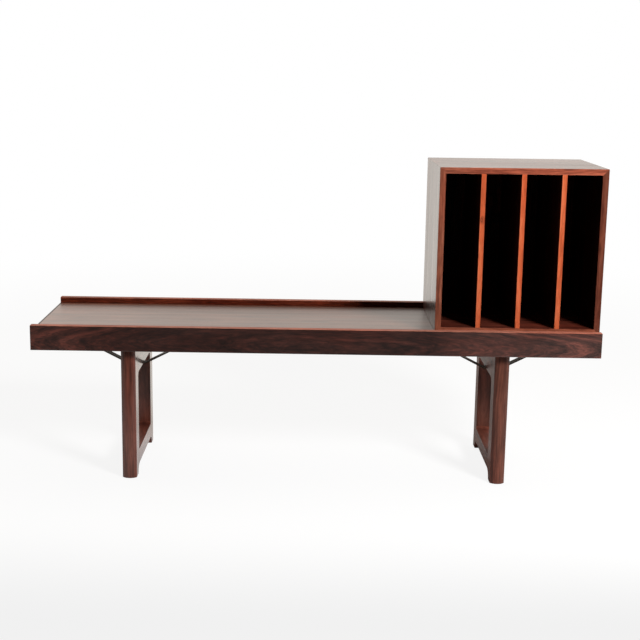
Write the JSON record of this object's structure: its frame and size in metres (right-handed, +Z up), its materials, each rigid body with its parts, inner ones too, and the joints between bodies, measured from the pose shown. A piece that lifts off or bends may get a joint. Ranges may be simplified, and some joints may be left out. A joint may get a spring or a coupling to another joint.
{
  "type": "telephone bench",
  "caption": "Long low wooden bench with raised front and back rails on two braced leg frames, carrying a loose open-fronted box of upright compartments at one end.",
  "frame": {"origin": "on the floor, under the middle of the bench", "axes": "+X along the bench towards the box's end, +Y from the open front of the box to the back, +Z up"},
  "size_m": [1.504, 0.4, 0.853],
  "materials": {
    "rail_wood": "satin lacquered dark reddish rosewood",
    "seat_wood": "satin lacquered dark reddish rosewood veneer",
    "lipping_wood": "satin lacquered dark rosewood",
    "leg_wood": "satin lacquered red-brown rosewood",
    "box_wood": "satin lacquered dark reddish rosewood",
    "divider_wood": "satin lacquered, orange-brown front edge",
    "back_wood": "satin lacquered dark rosewood veneer",
    "bearer_wood": "plain planed hardwood",
    "dowel_wood": "plain beech",
    "strap_metal": "dark bronze-coloured flat strap",
    "screw_metal": "dulled brass",
    "bolt_metal": "zinc-plated steel",
    "insert_metal": "plain brass"
  },
  "bodies": {
    "bench": {"seat_panel": "seat_wood", "seat_lipping_left": "lipping_wood", "seat_lipping_right": "lipping_wood", "front_rail": "rail_wood", "back_rail": "rail_wood", "bearer_dowels": "dowel_wood", "left_end_bearer": "bearer_wood", "left_leg_bearer": "bearer_wood", "left_inner_bearer": "bearer_wood", "left_front_post": "leg_wood", "left_back_post": "leg_wood", "left_upper_rail": "leg_wood", "left_lower_rail": "leg_wood", "left_leg_dowels": "dowel_wood", "left_leg_bolts": "bolt_metal", "left_bolt_inserts": "insert_metal", "left_brace_strap": "strap_metal", "left_strap_screws": "screw_metal", "right_end_bearer": "bearer_wood", "right_leg_bearer": "bearer_wood", "right_inner_bearer": "bearer_wood", "right_front_post": "leg_wood", "right_back_post": "leg_wood", "right_upper_rail": "leg_wood", "right_lower_rail": "leg_wood", "right_leg_dowels": "dowel_wood", "right_leg_bolts": "bolt_metal", "right_bolt_inserts": "insert_metal", "right_brace_strap": "strap_metal", "right_strap_screws": "screw_metal"},
    "box": {"box_bottom": "box_wood", "box_top": "box_wood", "box_left_side": "box_wood", "box_right_side": "box_wood", "box_back": "back_wood", "box_corner_splines": "dowel_wood", "divider_left": "divider_wood", "divider_middle": "divider_wood", "divider_right": "divider_wood"}
  },
  "joints": [
    {"name": "box_slide", "type": "slide", "parent": "bench", "child": "box", "axis": [1, 0, 0], "range_m": [-1.067, 0]}
  ]
}
